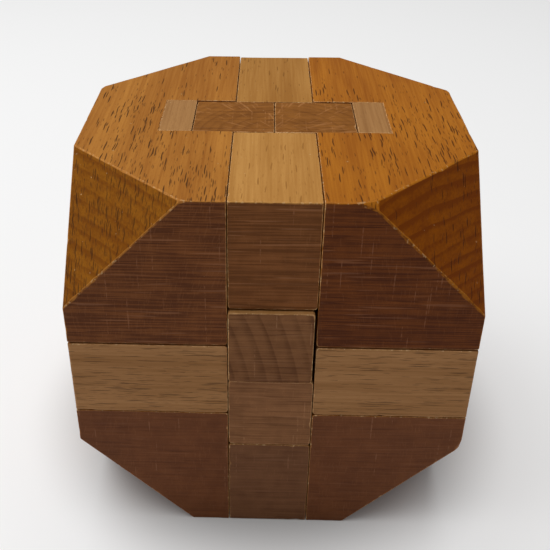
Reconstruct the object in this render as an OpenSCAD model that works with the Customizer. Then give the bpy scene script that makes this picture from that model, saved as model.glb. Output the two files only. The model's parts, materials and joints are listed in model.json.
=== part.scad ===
// Burr puzzle in the shape of a truncated cube, made of 18 loose wooden pieces.
//
// Six square sticks cross in three pairs at the centre. Four long corner shells and eight small
// blocks fill the space round them, and each hangs on a tenon that is trapped between the two sticks
// of a pair. Five of the sticks and everything on them are locked by the sixth, the plain key stick,
// which slides out along Y.
//
// Frame: +Z up, origin at the middle of the base. -Y is the front, and +X is on the right.

/* [Puzzle] */
// Size of the puzzle across two opposite flat faces
cube_w = 70; // [66:1:80]
// Width and height of a square stick
stick_w = 15; // [14:0.5:16]
// Length that each cut corner takes off the cube's edges
corner_cut = 20.5; // [18:0.5:24]

/* [Fits] */
// Thickness of the tenons that hold the shells and blocks
tenon_t = 6; // [5:0.5:7]
// Clearance on every hidden face of every loose piece
play = 0.07; // [0.05:0.01:0.15]
// Extra height of the slots over the feet of the shells' tenons
foot_slack = 0.3; // [0.2:0.05:0.5]

/* [Wear] */
// How far the key stick stands out of the front face
key_proud = 0.5; // [0:0.1:1]
// How far the top front block sits behind the front face
top_block_set_back = 0.3; // [0:0.1:0.6]
// Gap that wear has left beside the key stick, on its right
key_side_gap = 0.35; // [0:0.05:0.5]
// Gap that wear has left over the key stick
key_top_gap = 0.2; // [0:0.05:0.4]
// How far the upper shells stand up off the blocks below them
shell_lift = 0.18; // [0:0.02:0.2]

/* [Hidden] */

half = cube_w / 2;        // from the centre to a flat face
u = stick_w / 2;          // half a stick: the depth of every notch
neck = stick_w / 4;       // half the width of a tenon's neck, and the depth of its head
slot_end = stick_w + tenon_t;                  // where a tenon slot ends, from the centre
cut_plane = (3 * half - corner_cut) / sqrt(3); // distance of a corner facet from the centre
facet_tilt = acos(1 / sqrt(3));                // angle between a facet's normal and the Z axis
over = 1;                 // how far a cut runs past the face it opens on

// ---- Boxes given by two opposite corners, in the frame of the puzzle's centre ----

// The face of a solid box at v: an outer face stays on the cube, a hidden one moves in by play.
function low_face(v) = v <= -half ? -half : v + play;
function high_face(v) = v >= half ? half : v - play;

module solid_box(a, b) {
    low = [for (v = a) low_face(v)];
    high = [for (v = b) high_face(v)];
    translate(low) cube(high - low);
}

// A notch is wider by play on all sides, and runs past the cube where it reaches it.
module notch_box(a, b) {
    low = [for (v = a) v <= -half ? v - over : v - play];
    high = [for (v = b) v >= half ? v + over : v + play];
    translate(low) cube(high - low);
}

// Puts a piece from the centre's frame into the frame with its origin on the base.
module standing() {
    translate([0, 0, half]) children();
}

// Raises an upper shell, or its tenon, by the play that it has.
module lifted() {
    translate([0, 0, shell_lift]) children();
}

// Mirrors its children in the plane x = 0 when side is -1.
module flipped(side) {
    mirror([side < 0 ? 1 : 0, 0, 0]) children();
}

// ---- Sticks, drawn along Y with their inner face up at z = 0 ----

// The T-shaped slots that trap a tenon from each side, near one end of a stick.
module tenon_slot(from_y, to_y) {
    notch_box([-u - over, from_y, -neck], [u + over, to_y, over]);
    notch_box([-neck, from_y, -u], [neck, to_y, over]);
}

// A stick with one long notch to half its depth and a tenon slot beyond each end of the notch.
module notched_stick() {
    difference() {
        solid_box([-u, -half, -stick_w], [u, half, 0]);
        notch_box([-u - over, -stick_w, -u], [u + over, stick_w, over]);
        tenon_slot(stick_w, slot_end);
        tenon_slot(-slot_end, -stick_w);
    }
}

// The stick that runs across in front of the uprights. A notch on top clears the key, two notches
// behind clasp the uprights, and the slots beside those trap the shells' tenons.
module cross_stick() {
    difference() {
        solid_box([-half, -stick_w, -u], [half, 0, u]);
        notch_box([-u, -stick_w - over, 0], [u, over, u + over]);
        for (side = [-1, 1]) flipped(side) {
            notch_box([u, -u, -u - over], [stick_w, over, u + over]);
            notch_box([stick_w, -neck, -u - over], [slot_end, over, u + over]);
            notch_box([stick_w, -u, -neck], [slot_end, over, neck]);
        }
    }
}

module key_stick() {
    color("#5b3d24") standing()
        translate([0, -key_proud, 0])
            translate([-u + play, -half, play])
                cube([
                    stick_w - 2 * play - key_side_gap,
                    cube_w,
                    stick_w - 2 * play - key_top_gap
                ]);
}

module lower_stick() {
    color("#5e402a") standing() notched_stick();
}

module front_cross_stick() {
    color("#6b4a2e") standing() cross_stick();
}

module rear_cross_stick() {
    color("#6b4a2e") standing() rotate([0, 0, 180]) cross_stick();
}

module left_upright_stick() {
    color("#7a4f2a") standing() rotate([90, 0, 90]) notched_stick();
}

module right_upright_stick() {
    color("#7a4f2a") standing() rotate([90, 0, -90]) notched_stick();
}

// ---- Corner shells, drawn on the upper right ----

// Cuts the corner at the end of a shell that lies towards -Y (end = -1) or +Y (end = 1).
module corner_facet(end) {
    rotate([0, facet_tilt, end * 45])
        translate([-cube_w, -cube_w, cut_plane]) cube([2 * cube_w, 2 * cube_w, cube_w]);
}

// A square bar with both end corners cut, and a groove across its inner side that clears the
// upright stick and holds the glued tenon.
module shell() {
    difference() {
        solid_box([u, -half, u], [half, half, half]);
        translate([0, -u - play, 0])
            cube([slot_end, stick_w + 2 * play, half + over]);
        for (end = [-1, 1]) corner_facet(end);
    }
}

// The tenon strip glued into the end of the groove. It fills the groove where it is seen, and its
// T-shaped foot reaches down between the two cross sticks.
module shell_tenon() {
    strip = tenon_t - play;
    foot = neck - 2 * play - foot_slack;
    translate([stick_w + play, -u - play, u + play])
        cube([strip, stick_w + 2 * play, half - u - play]);
    translate([stick_w + play, -neck + play, play])
        cube([strip - play, 2 * (neck - play), u + play]);
    translate([stick_w + play, -u + play, play])
        cube([strip - play, 2 * (u - play), foot]);
}

module upper_right_shell() {
    color("#b5762f") standing() lifted() shell();
}

module upper_left_shell() {
    color("#b5762f") standing() lifted() rotate([0, 0, 180]) shell();
}

module lower_right_shell() {
    color("#8f5a2a") standing() rotate([180, 0, 0]) shell();
}

module lower_left_shell() {
    color("#8f5a2a") standing() rotate([0, 180, 0]) shell();
}

module upper_right_tenon() {
    color("#b08a5c") standing() lifted() shell_tenon();
}

module upper_left_tenon() {
    color("#b08a5c") standing() lifted() rotate([0, 0, 180]) shell_tenon();
}

module lower_right_tenon() {
    color("#b08a5c") standing() rotate([180, 0, 0]) shell_tenon();
}

module lower_left_tenon() {
    color("#b08a5c") standing() rotate([0, 180, 0]) shell_tenon();
}

// ---- Blocks between the shells ----

// A block over the key's channel, drawn at the top front. Its tenon is trapped by the uprights.
module edge_block(set_back = 0) {
    front = -half + set_back;
    difference() {
        solid_box([-u, -half, stick_w], [u, -u, half]);
        translate([-stick_w, front - cube_w, 0]) cube([cube_w, cube_w, cube_w]);
    }
    translate([-neck + play, -u - over, stick_w + play])
        cube([2 * (neck - play), u + over - play, tenon_t - 2 * play]);
    solid_box([-u, -neck, stick_w], [u, 0, slot_end]);
}

module top_front_block() {
    color("#c2924e") standing() edge_block(top_block_set_back);
}

module top_rear_block() {
    color("#c2924e") standing() rotate([0, 0, 180]) edge_block();
}

module bottom_front_block() {
    color("#6a4a30") standing() rotate([0, 180, 0]) edge_block();
}

module bottom_rear_block() {
    color("#6a4a30") standing() rotate([180, 0, 0]) edge_block();
}

// A block in the middle layer, drawn at the front right. Its hook drops into the lower stick and
// the key stick closes the slot above it.
module corner_block() {
    solid_box([u, -half, -u], [half, -stick_w, u]);
    translate([play, -slot_end + play, -neck + play])
        cube([u + over - play, tenon_t - 2 * play, neck - 2 * play]);
    solid_box([0, -slot_end, -u], [neck, -stick_w, 0]);
}

module front_right_block() {
    color("#8f6a42") standing() corner_block();
}

module front_left_block() {
    color("#8f6a42") standing() mirror([1, 0, 0]) corner_block();
}

module rear_left_block() {
    color("#8f6a42") standing() rotate([0, 0, 180]) corner_block();
}

module rear_right_block() {
    color("#8f6a42") standing() mirror([0, 1, 0]) corner_block();
}

key_stick();
lower_stick();
front_cross_stick();
rear_cross_stick();
left_upright_stick();
right_upright_stick();
upper_left_shell();
upper_right_shell();
lower_left_shell();
lower_right_shell();
upper_left_tenon();
upper_right_tenon();
lower_left_tenon();
lower_right_tenon();
top_front_block();
top_rear_block();
bottom_front_block();
bottom_rear_block();
front_left_block();
front_right_block();
rear_left_block();
rear_right_block();
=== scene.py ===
"""Looks of a wooden burr puzzle. Every piece is cut from its CAD solid, gets worn edges, and is given
solid wood: growth rings, rays, fibres and pores that run through it along its own grain."""

import json
import math
from dataclasses import dataclass

import bmesh
import bpy
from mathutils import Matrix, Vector, noise


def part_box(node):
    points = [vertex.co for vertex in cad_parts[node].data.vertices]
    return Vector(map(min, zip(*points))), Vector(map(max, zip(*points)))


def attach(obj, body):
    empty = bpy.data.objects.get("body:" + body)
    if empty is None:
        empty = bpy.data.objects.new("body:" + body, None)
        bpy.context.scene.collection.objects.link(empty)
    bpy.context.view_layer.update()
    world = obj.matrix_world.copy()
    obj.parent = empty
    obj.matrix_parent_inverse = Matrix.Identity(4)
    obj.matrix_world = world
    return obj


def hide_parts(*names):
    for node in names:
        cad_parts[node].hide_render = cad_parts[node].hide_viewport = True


MM = 0.001

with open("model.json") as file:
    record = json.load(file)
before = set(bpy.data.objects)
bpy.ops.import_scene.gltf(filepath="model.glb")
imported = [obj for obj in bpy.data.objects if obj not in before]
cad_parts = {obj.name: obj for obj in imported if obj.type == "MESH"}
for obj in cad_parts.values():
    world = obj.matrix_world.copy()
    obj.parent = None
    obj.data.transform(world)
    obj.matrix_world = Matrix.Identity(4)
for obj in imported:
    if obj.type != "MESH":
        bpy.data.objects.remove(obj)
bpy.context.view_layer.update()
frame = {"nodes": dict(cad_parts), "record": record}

# ---- The cube's sizes ----

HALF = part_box("upper_right_shell")[1].x   # from the centre to a flat face
WIDTH = 2 * HALF
CENTRE = Vector((0, 0, HALF))
CORNER_CUT = 20.5 * MM                    # what each cut corner takes off the cube's edges
FACET_SUM = 3 * HALF - CORNER_CUT         # |x| + |y| + |z| on a cut corner, from the centre
SLOPE = 1 / math.sqrt(3)                  # each part of a cut corner's normal


# ---- Worn pieces ----

EDGE_WIDTH = 0.25 * MM       # how far an edge's rounding reaches into each face
EDGE_STEPS = 4               # faces across a rounded edge
ARRIS = 0.55 * MM            # the larger rounding of the level edges that run out to the surface
ARRIS_STEPS = 5              # faces across it
SHARP = math.radians(20)     # an edge that turns less than this isn't rounded
FLAT = math.radians(1)       # faces that turn less than this become one
WELD = 0.001 * MM            # points closer than this become one
FINE_CUT = 0.9 * MM          # spacing of the points along an edge that shows
COARSE_CUT = 6 * MM          # the same along an edge that is hidden inside
SKIN = 0.8 * MM              # a point this close to the cube's surface counts as outside
END_FADE = 1.5 * MM          # the wear evens out over this length, towards an edge's ends

# How far apart two pieces lie in the noises that wear them, in mm.
WEAR_STEP = (31.7, 17.3, 7.9)

# How worn the wood looks along the cube's own edges, where the paler colour is partly wear and partly a
# painted highlight, and along the seams between pieces, where it is wear.
OUTER_WEAR_AND_HIGHLIGHT = 0.60
SEAM_WEAR = 1.0

# How wide the rounding is, as a share of EDGE_WIDTH: its mean on the cube's own edges and on the seams,
# and the least that chance leaves.
OUTER_ROUND = 1.25
SEAM_ROUND = 0.6
LEAST_ROUND = 0.25

# Corners that have been knocked flat. A cut corner, given by its signs, has a point on each of the cube's
# edges: the one along the axis X, Y or Z (0, 1 or 2) has lost a depth.
KNOCKED = {
    "upper_right_shell": [((1, -1, 1), 0, 0.55 * MM), ((1, 1, 1), 1, 0.20 * MM)],
    "upper_left_shell": [((-1, -1, 1), 0, 0.22 * MM), ((-1, 1, 1), 1, 0.25 * MM)],
    "lower_right_shell": [((1, -1, -1), 2, 0.45 * MM)],
    "lower_left_shell": [((-1, 1, -1), 2, 0.35 * MM)],
}


def outside(point):
    """True if a point in the row frame lies on the outer surface."""
    p = point - CENTRE
    flat = max(abs(p.x), abs(p.y), abs(p.z)) > HALF - SKIN
    return flat or abs(p.x) + abs(p.y) + abs(p.z) > FACET_SUM - SKIN


def is_skin(face):
    """True if a whole face lies on the outer surface."""
    return all(outside(v.co) for v in face.verts) and outside(face.calc_center_median())


def knock_flat(bm, signs, axis, depth):
    """Cuts off, to a depth, the point where a cut corner meets the cube's edge along an axis."""
    towards = Vector([sign * (SLOPE if i == axis else 1 + SLOPE) for i, sign in enumerate(signs)])
    towards.normalize()
    tip = max((v.co for v in bm.verts), key=lambda place: place.dot(towards))
    cut = bmesh.ops.bisect_plane(
        bm, geom=bm.verts[:] + bm.edges[:] + bm.faces[:],
        plane_co=tip - towards * depth, plane_no=towards, clear_outer=True,
    )
    rim = [g for g in cut["geom_cut"] if isinstance(g, bmesh.types.BMEdge)]
    bmesh.ops.edgenet_fill(bm, edges=rim)
    bmesh.ops.recalc_face_normals(bm, faces=bm.faces)


def stands_out(edge):
    """True if an edge is a convex one between two faces."""
    return len(edge.link_faces) == 2 and edge.calc_face_angle_signed(0) > SHARP


def round_off(bm, edges, width, steps):
    """Rounds edges, and returns the new faces."""
    made = bmesh.ops.bevel(
        bm, geom=edges, offset=width, offset_type="OFFSET", segments=steps, profile=0.5,
        affect="EDGES", clamp_overlap=True,
    )
    return made["faces"]


def round_arrises(bm):
    """Rounds the hidden level edges that run out to the surface, for round corners at the seams."""
    chosen = []
    for e in bm.edges:
        level = abs(e.verts[0].co.z - e.verts[1].co.z) < 0.5 * e.calc_length()
        hidden = not any(is_skin(f) for f in e.link_faces)
        if stands_out(e) and level and hidden and any(outside(v.co) for v in e.verts):
            chosen.append(e)
    for f in round_off(bm, chosen, ARRIS, ARRIS_STEPS):
        f.smooth = True


@dataclass
class Line:
    """Where a sharp edge ran before it was rounded, and how many of its faces are on the outside."""

    start: Vector
    end: Vector
    skins: int

    def nearest(self, point):
        """The nearest place on the line to a point, and how far it is from the line's ends."""
        along = self.end - self.start
        share = min(1, max(0, (point - self.start).dot(along) / along.length_squared))
        return self.start + along * share, min(share, 1 - share) * along.length


def cut_up(edge, spacing):
    """Cuts an edge into pieces of about a length, and returns them."""
    count = max(1, round(edge.calc_length() / spacing))
    first, last = edge.verts
    pieces = {edge}
    for left in range(count, 1, -1):
        new_edge, middle = bmesh.utils.edge_split(edge, first, 1 / left)
        pieces.update((edge, new_edge))
        edge = next(e for e in middle.link_edges if e in (edge, new_edge) and last in e.verts)
        first = middle
    return pieces


def round_at(point, seed, skins):
    """How wide the rounding is at a point of an edge, as a share of EDGE_WIDTH. It wanders over 9 mm and
    over 2.5 mm, and there is a chip here and there."""
    p = (point - CENTRE) / MM + Vector([seed * step for step in WEAR_STEP])
    slow = 0.45 * noise.noise(p / 9)
    quick = 0.20 * noise.noise(p / 2.5)
    chip = 4 * max(0, noise.noise(p / 1.7 + Vector((50, 0, 0))) - 0.38)
    mean = OUTER_ROUND if skins == 2 else SEAM_ROUND
    return max(LEAST_ROUND, mean + slow + quick + chip)


def wear_unevenly(bm, strips, lines, seed):
    """Makes rounded edges wider and narrower, and marks in a layer how worn they are. On the cube's own
    edges that mark also carries a painted highlight.
    """
    wear = bm.verts.layers.float.new("wear")
    moves = {}
    for v in bm.verts:
        if not any(f in strips for f in v.link_faces):
            continue
        near = []
        for line in lines:
            place, to_end = line.nearest(v.co)
            near.append(((v.co - place).length, place, to_end, line.skins))
        gap, place, to_end, skins = min(near, key=lambda n: n[0])
        if all(f in strips for f in v.link_faces):
            # The cube's own edges are painted paler, partly as wear and partly as a painted highlight; the
            # seams as wear.
            v[wear] = OUTER_WEAR_AND_HIGHLIGHT if skins == 2 else SEAM_WEAR
        if gap < 2 * EDGE_WIDTH:
            fade = min(1, to_end / END_FADE)
            moves[v] = place + (v.co - place) * (1 + (round_at(place, seed, skins) - 1) * fade)
    for v, place in moves.items():
        v.co = place


def worn(node, seed, everywhere):
    """A copy of a CAD node with rounded, unevenly worn and chipped edges. It stands for the node.
    A piece that slides out shows its edges everywhere."""
    bm = bmesh.new()
    bm.from_mesh(frame["nodes"][node].data)
    bmesh.ops.remove_doubles(bm, verts=bm.verts, dist=WELD)
    bmesh.ops.dissolve_limit(bm, angle_limit=FLAT, verts=bm.verts, edges=bm.edges)
    for signs, axis, depth in KNOCKED.get(node, ()):
        knock_flat(bm, signs, axis, depth)
    for f in bm.faces:
        f.smooth = False
    round_arrises(bm)

    lines = []
    spacings = []
    for e in filter(stands_out, bm.edges):
        skins = sum(is_skin(f) for f in e.link_faces)
        lines.append(Line(*(v.co.copy() for v in e.verts), skins))
        spacings.append((e, FINE_CUT if everywhere or skins else COARSE_CUT))
    chosen = set()
    for edge, spacing in spacings:
        chosen |= cut_up(edge, spacing)
    strips = set(round_off(bm, list(chosen), EDGE_WIDTH, EDGE_STEPS))
    wear_unevenly(bm, strips, lines, seed)
    for f in strips:
        f.smooth = True

    mesh = bpy.data.meshes.new(node + "_wood")
    bm.to_mesh(mesh)
    bm.free()
    piece = bpy.data.objects.new(node + "_wood", mesh)
    bpy.context.scene.collection.objects.link(piece)
    return piece


# ---- Node helpers ----


class Tree:
    """A material's nodes, added one call at a time."""

    def __init__(self, name):
        self.material = bpy.data.materials.new(name)
        self.material.use_nodes = True
        self.nodes = self.material.node_tree.nodes
        self.links = self.material.node_tree.links
        self.nodes.clear()

    def add(self, kind, inputs=None, **settings):
        """A node of a kind, with settings, and inputs by name or number, each a value or an output."""
        made = self.nodes.new("ShaderNode" + kind)
        for key, value in settings.items():
            setattr(made, key, value)
        for key, value in (inputs or {}).items():
            if isinstance(value, bpy.types.NodeSocket):
                self.links.new(value, made.inputs[key])
            else:
                made.inputs[key].default_value = value
        return made

    def math(self, operation, a, b=0.0, c=0.0):
        """The output of one Math node."""
        return self.add("Math", {0: a, 1: b, 2: c}, operation=operation).outputs[0]

    def product(self, first, *others):
        """Values multiplied together."""
        for other in others:
            first = self.math("MULTIPLY", first, other)
        return first

    def ramp(self, value, low, high, to_low=0.0, to_high=1.0):
        """A value mapped smoothly from low..high to to_low..to_high."""
        span = {"Value": value, "From Min": low, "From Max": high, "To Min": to_low, "To Max": to_high}
        return self.add("MapRange", span, interpolation_type="SMOOTHSTEP").outputs["Result"]

    def vector(self, x, y, z):
        """Three numbers as one vector."""
        return self.add("CombineXYZ", {0: x, 1: y, 2: z}).outputs[0]

    def parts(self, vector):
        """The three numbers of a vector."""
        return self.add("SeparateXYZ", {0: vector}).outputs

    def noise(self, place, scale=1.0, detail=2.0):
        """Noise from 0 to 1."""
        return self.add("TexNoise", {"Vector": place, "Scale": scale, "Detail": detail}).outputs["Fac"]

    def stretched(self, parts, scales, detail=2.0, shift=0.0):
        """Noise with a scale, in cycles per millimetre, for each of the three directions."""
        scaled = [self.math("MULTIPLY_ADD", p, s, shift) for p, s in zip(parts, scales)]
        return self.noise(self.vector(*scaled), detail=detail)

    def cells(self, place, scale=1.0):
        """How far a point is from the middle of its cell, and three chances from 0 to 1 for the cell."""
        inputs = {"Vector": place, "Scale": scale, "Randomness": 1.0}
        made = self.add("TexVoronoi", inputs, feature="F1").outputs
        return made["Distance"], self.parts(made["Color"])

    def mix(self, share, a, b, blend="MIX"):
        """Two colours mixed by a share."""
        made = self.add("Mix", {0: share, 6: a, 7: b}, data_type="RGBA", blend_type=blend)
        return made.outputs[2]

    def finish(self, inputs):
        """Ends the tree with a Principled shader, and returns the material."""
        shader = self.add("BsdfPrincipled", inputs)
        self.add("OutputMaterial", {"Surface": shader.outputs[0]})
        return self.material


# ---- Woods ----


@dataclass
class Wood:
    """One kind of wood. Colours are linear, each pair is (light, dark), and lengths are in millimetres."""

    face: tuple                # colours along the grain
    end: tuple                 # colours across the grain
    fleck: float = 0.5         # a ray's colour on a face, as a share of the dark colour
    flecks: float = 0.3        # share of the places for a ray that have one
    fleck_length: float = 4.0
    fleck_width: float = 0.30
    fleck_depth: float = 3.0   # how far a ray reaches out from the pith
    thinning: float = 0.0      # share of the flecks that are missing towards the rear
    cut_flecks: float = 1.0    # flecks on a cut corner for each one on a face
    ring: float = 1.5          # width of a year's growth
    wave: float = 2.0          # how far the rings wander
    face_rings: float = 0.2    # how dark the rings are on a face
    cut_rings: float = 0.45    # and on a cut corner
    end_rings: float = 0.15    # and on an end
    end_rays: float = 0.10     # how pale the rays are on an end
    sawn: float = 1.0          # strength of the straight lines across an end
    rim: float = 0.7           # how strongly the worn edges show; on the cube's own edges partly as a painted highlight
    stain: tuple = (1, 1, 1)   # what the colour of a cut corner is multiplied by


WOODS = {
    "left_shell": Wood(
        face=((0.465, 0.190, 0.030), (0.290, 0.097, 0.010)),
        end=((0.202, 0.066, 0.017), (0.093, 0.026, 0.006)),
        fleck=0.28, flecks=0.48, fleck_length=6.5, thinning=0.55, cut_flecks=1.9,
        ring=1.9, wave=1.6, cut_rings=0.75, sawn=1.35, stain=(0.64, 0.555, 0.18),
    ),
    "right_shell": Wood(
        face=((0.440, 0.154, 0.010), (0.275, 0.078, 0.003)),
        end=((0.158, 0.042, 0.006), (0.073, 0.016, 0.002)),
        fleck=0.36, flecks=0.42, fleck_length=6.0, thinning=0.75, cut_flecks=0.6,
        ring=1.7, wave=4.0, cut_rings=0.95, sawn=1.25, stain=(0.62, 0.46, 0.02),
    ),
    "lower_shell": Wood(
        face=((0.380, 0.143, 0.024), (0.250, 0.083, 0.011)),
        end=((0.170, 0.056, 0.018), (0.092, 0.027, 0.008)),
        fleck=0.40, flecks=0.34, fleck_length=6.0, sawn=0.45, rim=0.35, stain=(0.66, 0.52, 0.15),
    ),
    "pale": Wood(
        face=((0.525, 0.260, 0.067), (0.370, 0.160, 0.030)),
        end=((0.222, 0.078, 0.021), (0.124, 0.040, 0.008)),
        fleck=0.86, flecks=0.11, fleck_length=5.0, ring=1.3, wave=1.2, sawn=1.4,
    ),
    "pale_rear": Wood(
        face=((0.452, 0.216, 0.050), (0.325, 0.135, 0.023)),
        end=((0.230, 0.084, 0.024), (0.140, 0.046, 0.011)),
        fleck=0.72, flecks=0.12, fleck_length=5.0, ring=2.6, wave=1.2, face_rings=0.45,
    ),
    "dull": Wood(
        face=((0.400, 0.200, 0.070), (0.300, 0.135, 0.040)),
        end=((0.179, 0.074, 0.030), (0.109, 0.040, 0.015)),
        fleck=0.85, flecks=0.08, ring=3.4, wave=4.0, sawn=0.5, end_rings=0.25, rim=0.25,
    ),
    "bar": Wood(
        face=((0.392, 0.194, 0.074), (0.250, 0.110, 0.033)),
        end=((0.220, 0.100, 0.040), (0.160, 0.066, 0.022)),
        fleck=0.28, flecks=0.36, fleck_length=6.5,
    ),
    "tenon": Wood(
        face=((0.405, 0.203, 0.069), (0.290, 0.133, 0.040)),
        end=((0.240, 0.115, 0.040), (0.170, 0.075, 0.024)),
        fleck=0.75, flecks=0.16, fleck_length=3.0, ring=1.2, wave=1.5, face_rings=0.4,
    ),
    "upright": Wood(
        face=((0.360, 0.150, 0.040), (0.260, 0.100, 0.022)),
        end=((0.294, 0.110, 0.017), (0.149, 0.048, 0.005)),
        fleck=0.6, flecks=0.55, fleck_width=0.9, fleck_depth=9.0, ring=1.7, wave=2.5,
        end_rings=0.30, end_rays=0.40, sawn=0.7, rim=1.0,
    ),
    "key": Wood(
        face=((0.440, 0.230, 0.085), (0.340, 0.165, 0.050)),
        end=((0.236, 0.101, 0.037), (0.110, 0.039, 0.012)),
        fleck=0.7, flecks=0.14, ring=2.7, wave=1.2, end_rings=0.55, sawn=0.7,
    ),
    "lower_stick": Wood(
        face=((0.420, 0.210, 0.080), (0.330, 0.155, 0.050)),
        end=((0.274, 0.119, 0.047), (0.152, 0.060, 0.021)),
        fleck=0.8, flecks=0.12, wave=1.4, sawn=0.75,
    ),
    "cross": Wood(
        face=((0.360, 0.165, 0.052), (0.260, 0.110, 0.030)),
        end=((0.215, 0.091, 0.031), (0.138, 0.054, 0.017)),
        fleck=0.6, flecks=0.20, ring=1.8,
    ),
}

BARE_WOOD = (0.60, 0.34, 0.15, 1)   # where the finish is gone from an edge
NICK = (0.66, 0.44, 0.22, 1)        # where it has been knocked off
CHALK = (0.10, 0.07, 0.05)          # what scratches and rays add to the colour of an end
FINISH_IOR = 1.5
FINISH_SPECULAR = 0.10              # an oiled finish that hardly shines
GRAIN_DEPTH = 0.05 * MM             # how deep the grain can be felt

# How the axes of the row frame become (across, up, along the grain) for each grain direction.
GRAIN_ORDER = {"X": (1, 2, 0), "Y": (0, 2, 1), "Z": (0, 1, 2)}

SEED_STEP = 37.31                   # how far apart the noises of two pieces lie
MOST = (0.35, 0.65)                 # where most of a noise's values lie


class SolidWood(Tree):
    """The material of one piece: a wood that runs through it. Lengths in it are in millimetres."""

    def __init__(self, name, kind, grain, pith, seed):
        """pith is where the tree's middle lay, in millimetres from the puzzle's centre, in the two
        directions across the grain."""
        super().__init__(name)
        self.wood = WOODS[kind]
        self.shift = seed * SEED_STEP
        source = self.add("TexCoord").outputs
        scaled = self.add("VectorMath", {0: source["Object"], 3: 1 / MM}, operation="SCALE")
        self.millimetres = scaled.outputs[0]
        self.find_place(GRAIN_ORDER[grain], self.parts(source["Normal"]))
        self.find_pith(pith)
        self.fibre = self.stretched(self.place, (2.6, 2.6, 0.07), detail=3.0, shift=self.shift)
        self.pore = self.stretched(self.place, (7.0, 7.0, 0.8), shift=self.shift)
        self.cloud = self.stretched(self.place, (0.10, 0.10, 0.035), shift=self.shift + 9)
        self.ring = self.growth_rings()
        self.ray = self.rays()

    def find_place(self, order, facing):
        """Turns the point and the surface's direction to (across, up, along the grain). end is 1 on faces
        across the grain, and slant is 1 on the cut corners."""
        xyz = self.parts(self.millimetres)
        self.place = [self.math("SUBTRACT", xyz[i], HALF / MM if i == 2 else 0.0) for i in order]
        self.facing = [facing[i] for i in order]
        flatness = [self.math("ABSOLUTE", f) for f in self.facing]
        self.end = self.ramp(flatness[2], 0.70, 0.90)
        flattest = self.math("MAXIMUM", self.math("MAXIMUM", *flatness[:2]), flatness[2])
        self.slant = self.ramp(flattest, 0.60, 0.68, 1.0, 0.0)

    def find_pith(self, pith):
        """The tree's own round coordinates: out from the pith, and round it."""
        slow = [
            self.math("MULTIPLY_ADD", c, scale, self.shift)
            for c, scale in zip(self.place, (0.045, 0.045, 0.012))
        ]
        bend = self.add("TexNoise", {"Vector": self.vector(*slow), "Scale": 1.0, "Detail": 2.0})
        drift = self.parts(bend.outputs["Color"])
        wave = self.wood.wave
        bent = [self.math("MULTIPLY_ADD", d, wave, -wave / 2) for d in drift[:2]]
        self.from_pith = [
            self.math("ADD", self.math("SUBTRACT", c, middle), b)
            for c, middle, b in zip(self.place[:2], pith, bent)
        ]
        from_pith = self.vector(*self.from_pith, 0.0)
        self.out = self.add("VectorMath", {0: from_pith}, operation="LENGTH").outputs["Value"]
        turn = self.math("MULTIPLY", self.math("ARCTAN2", *self.from_pith), math.hypot(*pith) + 10)
        ragged = self.stretched(self.place, (0.9, 0.9, 0.35), detail=0.0)
        self.round_it = self.math("ADD", turn, self.math("MULTIPLY_ADD", ragged, 0.30, -0.15))

    def growth_rings(self):
        """Rings that darken slowly and end in a thin dark line, some years more strongly than others."""
        ring_at = self.math("DIVIDE", self.out, self.wood.ring)
        uneven = self.product(self.noise(self.vector(ring_at, self.shift, 0.0), 0.35), 1.6)
        years = self.math("ADD", ring_at, uneven)
        part = self.math("FRACT", years)
        late = self.ramp(part, 0.40, 0.90)
        closed = self.ramp(part, 0.90, 1.0, 1.0, 0.0)
        year = self.vector(self.math("FLOOR", years), self.shift, 3.0)
        strength = self.ramp(self.noise(year, 0.9), 0.3, 0.7, 0.35, 1.0)
        return self.product(late, closed, strength)

    def ribbons(self, place, size, share):
        """Thin marks, in a share of the cells of a grid with cells of a size in three directions."""
        cell = self.vector(*(self.math("DIVIDE", c, length) for c, length in zip(place, size)))
        distance, chance = self.cells(cell)
        ribbon = self.ramp(distance, 0.26, 0.36, 1.0, 0.0)
        return self.product(ribbon, self.math("LESS_THAN", chance[0], share))

    def rays(self):
        """Rays stand out from the pith, and show as flecks, flakes or fine lines. They are crowded in some
        places, and faint where the surface shows their broad sides, as on a quarter sawn face."""
        wood = self.wood
        crowd = self.stretched(self.place, (0.07, 0.07, 0.025), shift=self.shift + 4)
        crowd = self.product(
            self.ramp(crowd, *MOST, 0.45, 1.5),
            self.ramp(self.place[2], -5.0, 25.0, 1.0, 1.0 - wood.thinning),
            self.math("MULTIPLY_ADD", self.slant, wood.cut_flecks - 1, 1.0),
        )
        place = (self.round_it, self.out, self.place[2])
        size = (wood.fleck_width, wood.fleck_depth, wood.fleck_length)
        short_size = [c * share for c, share in zip(size, (0.7, 0.4, 0.4))]
        long_rays = self.ribbons(place, size, self.product(crowd, wood.flecks))
        short_rays = self.ribbons(place, short_size, self.product(crowd, 0.7 * wood.flecks))
        ray = self.math("MAXIMUM", long_rays, self.product(short_rays, 0.7))

        towards = [self.product(self.facing[i], self.from_pith[1 - i]) for i in (0, 1)]
        broadside = self.math("ABSOLUTE", self.math("SUBTRACT", *towards))
        broadside = self.math("DIVIDE", broadside, self.out)
        return self.product(ray, self.ramp(broadside, 0.45, 0.85, 1.0, 0.22))

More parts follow.
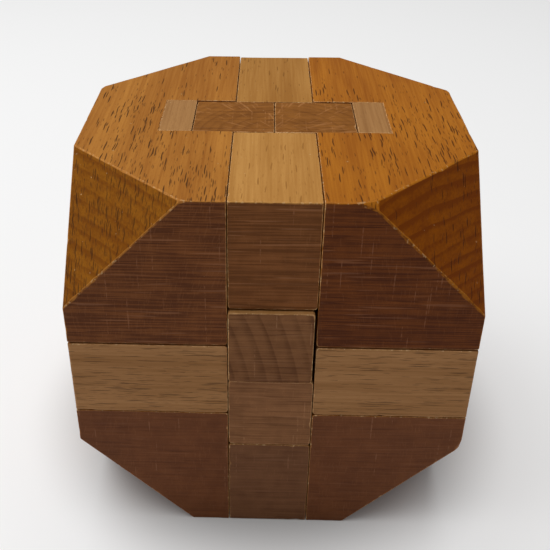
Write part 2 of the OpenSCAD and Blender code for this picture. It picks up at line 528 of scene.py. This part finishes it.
    def face_colour(self):
        """The faces along the grain, with rays as dark flecks."""
        wood = self.wood
        light, dark = ((*c, 1) for c in wood.face)
        rings = self.math("MULTIPLY_ADD", self.slant, wood.cut_rings - wood.face_rings, wood.face_rings)
        streak = self.stretched(self.place, (0.55, 0.55, 0.018), shift=self.shift + 2)
        tone = self.product(self.ring, rings)
        tone = self.math("MULTIPLY_ADD", self.ramp(self.fibre, 0.35, 0.68), 0.38, tone)
        tone = self.math("MULTIPLY_ADD", self.ramp(streak, *MOST), 0.30, tone)
        tone = self.math("MULTIPLY_ADD", self.ramp(self.cloud, *MOST), 0.25, tone)
        colour = self.mix(tone, light, dark)
        colour = self.mix(self.ramp(self.pore, 0.58, 0.72, 0.0, 0.50), colour, dark)
        fleck = (*(c * wood.fleck for c in wood.face[1]), 1)
        return self.mix(self.product(self.ray, 0.95), colour, fleck)

    def sawn_lines(self):
        """Straight lines that a saw and a sanding belt leave across an end: the dark ones, which are soft
        bands, fine lines and sharp hairlines, and sharp pale ones."""
        place = self.place
        shift = self.shift
        bands = self.ramp(self.stretched(place, (0.010, 0.30, 0.0), 1.0, shift), *MOST)
        fine = self.ramp(self.stretched(place, (0.080, 3.3, 0.0), 0.0, shift + 5), 0.40, 0.62)
        hairs = self.ramp(self.stretched(place, (0.085, 2.5, 0.0), 0.0, shift + 11), 0.64, 0.72)
        pale = self.ramp(self.stretched(place, (0.090, 2.1, 0.0), 0.0, shift + 17), 0.67, 0.75)
        dark = self.math("ADD", self.product(bands, 0.17), self.product(fine, 0.36))
        return self.math("ADD", dark, self.product(hairs, 0.58)), pale

    def end_colour(self, dark_lines, pale_lines):
        """The ends across the grain, with rays as pale lines, and scratches that run down them."""
        wood = self.wood
        light, dark = ((*c, 1) for c in wood.end)
        mottle = self.stretched(self.place, (0.45, 0.30, 0.10), detail=3.0, shift=self.shift + 23)
        tone = self.math("MULTIPLY_ADD", self.ring, wood.end_rings, self.product(dark_lines, wood.sawn))
        tone = self.math("MULTIPLY_ADD", self.ramp(self.cloud, *MOST), 0.20, tone)
        tone = self.math("MULTIPLY_ADD", self.ramp(mottle, *MOST), 0.22, tone)
        colour = self.mix(tone, light, dark)
        colour = self.mix(self.ramp(self.pore, 0.56, 0.70, 0.0, 0.40), colour, dark)
        chalky = (*(1.2 * c + chalk for c, chalk in zip(wood.end[0], CHALK)), 1)
        scratch = self.ribbons(self.place, (0.36, 11.0, 40.0), 0.13)
        broken = self.ramp(self.noise(self.millimetres, 1.3), 0.40, 0.62)
        colour = self.mix(self.product(self.ray, wood.end_rays), colour, chalky)
        colour = self.mix(self.product(pale_lines, 0.22 * wood.sawn), colour, chalky)
        return self.mix(self.product(scratch, broken, 0.38), colour, chalky)

    def worn_and_highlit_edges(self, colour):
        """A colour with the worn edges and pale chips on it, and how worn the edges are. On the cube's own
        edges the paler colour is partly wear and partly a painted highlight.
        """
        wear = self.add("Attribute", attribute_name="wear").outputs["Fac"]
        patches = self.ramp(self.noise(self.millimetres, 0.9, 3.0), 0.34, 0.60, 0.10, 1.0)
        worn_and_highlit = self.product(wear, patches)
        # The paler colour of the cube's own edges: wear, and partly a painted highlight.
        highlit_worn_edge = (*(1.25 * c for c in self.wood.face[0]), 1)
        worn_and_highlit_colour = self.mix(self.ramp(wear, OUTER_WEAR_AND_HIGHLIGHT, SEAM_WEAR), highlit_worn_edge, BARE_WOOD)
        colour = self.mix(self.product(worn_and_highlit, self.wood.rim), colour, worn_and_highlit_colour)
        chip = self.product(
            self.ramp(wear, 0.05, 0.45),
            self.ramp(self.noise(self.millimetres, 1.6), 0.58, 0.63),
            self.ramp(wear, OUTER_WEAR_AND_HIGHLIGHT, SEAM_WEAR, 0.35, 0.80),
        )
        return self.mix(chip, colour, NICK), worn_and_highlit

    def nicks(self, scale, share):
        """Ragged spots where the finish has been knocked off, in a share of the places for one."""
        distance, chance = self.cells(self.millimetres, scale)
        ragged = self.math("MULTIPLY_ADD", self.noise(self.millimetres, 5.4 * scale), 0.24, -0.12)
        size = self.ramp(chance[0], 0.0, 1.0, 0.03, 0.10)
        spot = self.math("LESS_THAN", self.math("ADD", distance, ragged), size)
        strength = self.ramp(chance[2], 0.0, 1.0, 0.2, 1.0)
        return self.product(spot, self.math("LESS_THAN", chance[1], share), strength)

    def relief(self, dark_lines, nick):
        """The surface's fine relief: fibres stand up, and rays, sawn lines and nicks are sunk."""
        sunk_ray = self.product(self.ray, self.math("MULTIPLY_ADD", self.end, -0.5, 0.6))
        height = self.math("SUBTRACT", self.product(self.fibre, 0.25), sunk_ray)
        height = self.math("SUBTRACT", height, self.product(dark_lines, self.end, 0.8))
        height = self.math("SUBTRACT", height, nick)
        return self.add("Bump", {"Strength": 0.5, "Distance": GRAIN_DEPTH, "Height": height}).outputs[0]

    def make(self):
        """The whole material."""
        dark_lines, pale_lines = self.sawn_lines()
        colour = self.mix(self.end, self.face_colour(), self.end_colour(dark_lines, pale_lines))
        colour = self.mix(self.slant, colour, (*self.wood.stain, 1), "MULTIPLY")
        # Worn edges painted paler; on the cube's own edges this is partly a painted highlight.
        colour, worn_and_highlit = self.worn_and_highlit_edges(colour)
        small_nicks = self.nicks(0.65, self.math("MULTIPLY_ADD", self.slant, 0.50, 0.12))
        nick = self.math("MAXIMUM", small_nicks, self.nicks(0.22, 0.07))
        colour = self.mix(self.product(nick, 0.55), colour, NICK)
        rough = self.math("MULTIPLY_ADD", self.end, 0.14, self.ramp(self.fibre, 0.3, 0.7, 0.36, 0.48))
        rough = self.math("MULTIPLY_ADD", self.math("MAXIMUM", self.ray, worn_and_highlit), 0.12, rough)
        return self.finish({
            "Base Color": colour, "Roughness": rough, "Normal": self.relief(dark_lines, nick),
            "IOR": FINISH_IOR, "Specular IOR Level": FINISH_SPECULAR,
        })


# ---- Which wood each piece is cut from, and which way its grain runs ----

# node: (wood, grain, pith from the puzzle's centre across and up, in mm)
CUTS = {
    "key_stick": ("key", "Y", (-60, -9)),
    "lower_stick": ("lower_stick", "Y", (12, 60)),
    "front_cross_stick": ("cross", "X", (8, -40)),
    "rear_cross_stick": ("cross", "X", (-8, 44)),
    "left_upright_stick": ("upright", "Z", (2, -9)),
    "right_upright_stick": ("upright", "Z", (-3, -10)),
    "upper_left_shell": ("left_shell", "Y", (-30, -70)),
    "upper_right_shell": ("right_shell", "Y", (26, -64)),
    "lower_left_shell": ("lower_shell", "Y", (-12, 80)),
    "lower_right_shell": ("lower_shell", "Y", (16, 84)),
    "upper_left_tenon": ("tenon", "Y", (-70, 10)),
    "upper_right_tenon": ("tenon", "Y", (70, 14)),
    "lower_left_tenon": ("tenon", "Y", (-66, -10)),
    "lower_right_tenon": ("tenon", "Y", (66, -14)),
    "top_front_block": ("pale", "Y", (4, -50)),
    "top_rear_block": ("pale_rear", "Y", (-6, -48)),
    "bottom_front_block": ("dull", "Y", (6, 46)),
    "bottom_rear_block": ("dull", "Y", (-4, 52)),
    "front_left_block": ("bar", "X", (-90, 12)),
    "front_right_block": ("bar", "X", (-86, -18)),
    "rear_left_block": ("bar", "X", (90, 14)),
    "rear_right_block": ("bar", "X", (88, -10)),
}

body_of = {n: body for body, members in frame["record"]["behaviour"]["bodies"].items() for n in members}

for seed, (node, (kind, grain, pith)) in enumerate(CUTS.items(), 1):
    piece = worn(node, seed, everywhere=body_of[node] == "key")
    piece.data.materials.append(SolidWood(node + "_wood", kind, grain, pith, seed).make())
    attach(piece, body_of[node])
    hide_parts(node)


# ---- Floor, light and camera ----

FLOOR_REACH = 40 * WIDTH                          # from the middle of the floor to its sides
FLOOR_COLOUR = (0.55, 0.55, 0.55, 1)
FLOOR_GLOW = 0.40                                 # strength of the light from below
GLOW_FROM = 0.45 * WIDTH                          # where it starts, from the middle of the puzzle's base
GLOW_TO = 0.80 * WIDTH                            # and where it is full
SKY_STRENGTH = 0.16
LAMP_OFFSET = Vector((-0.18, 0.05, 0.60))         # from the puzzle's centre, in metres
LAMP_SIZE = 0.8
LAMP_POWER = 5.0                                  # watts
CAMERA_OFFSET = Vector((-0.0245, -2.129, 1.350))  # from the puzzle's centre, in cube widths
CAMERA_DOWN = 32.45                               # degrees below the horizon
CAMERA_TURN = 1.84                                # degrees towards the left
CAMERA_LENS = 55
CAMERA_SHIFT = 0.0636


def floor_material():
    """A matt white sheet, lit a little from below except where the puzzle stands on it."""
    t = Tree("floor")
    place = t.add("TexCoord").outputs["Object"]
    from_middle = t.add("VectorMath", {0: place}, operation="LENGTH").outputs["Value"]
    return t.finish({
        "Base Color": FLOOR_COLOUR, "Roughness": 1.0, "Specular IOR Level": 0.0,
        "Emission Color": (1, 1, 1, 1),
        "Emission Strength": t.ramp(from_middle, GLOW_FROM, GLOW_TO, 0.0, FLOOR_GLOW),
    })


def make_floor():
    """A pale floor under the puzzle that runs on past the camera's view."""
    mesh = bpy.data.meshes.new("floor")
    corners = [(x * FLOOR_REACH, y * FLOOR_REACH, 0) for x, y in ((-1, -1), (1, -1), (1, 1), (-1, 1))]
    mesh.from_pydata(corners, [], [(0, 1, 2, 3)])
    floor = bpy.data.objects.new("floor", mesh)
    bpy.context.scene.collection.objects.link(floor)
    mesh.materials.append(floor_material())


def make_lamp():
    """A square softbox over the puzzle, turned to its middle."""
    data = bpy.data.lights.new("overhead", "AREA")
    data.size = LAMP_SIZE
    data.energy = LAMP_POWER
    lamp = bpy.data.objects.new("overhead", data)
    bpy.context.scene.collection.objects.link(lamp)
    lamp.location = CENTRE + LAMP_OFFSET
    lamp.rotation_euler = (-LAMP_OFFSET).to_track_quat("-Z", "Y").to_euler()


def make_sky():
    """An even white surround."""
    world = bpy.data.worlds.new("surround")
    world.use_nodes = True
    background = world.node_tree.nodes["Background"]
    background.inputs["Color"].default_value = (1, 1, 1, 1)
    background.inputs["Strength"].default_value = SKY_STRENGTH
    bpy.context.scene.world = world


def make_camera():
    """A camera in front of the puzzle that looks down at it."""
    data = bpy.data.cameras.new("camera")
    data.lens = CAMERA_LENS
    data.shift_x = CAMERA_SHIFT
    data.clip_start = 0.1 * WIDTH
    data.clip_end = 100 * WIDTH
    camera = bpy.data.objects.new("camera", data)
    bpy.context.scene.collection.objects.link(camera)
    camera.location = CENTRE + CAMERA_OFFSET * WIDTH
    camera.rotation_euler = (math.radians(90 - CAMERA_DOWN), 0, math.radians(CAMERA_TURN))
    bpy.context.scene.camera = camera


make_floor()
make_sky()
make_lamp()
make_camera()
bpy.context.scene.view_settings.view_transform = "Standard"
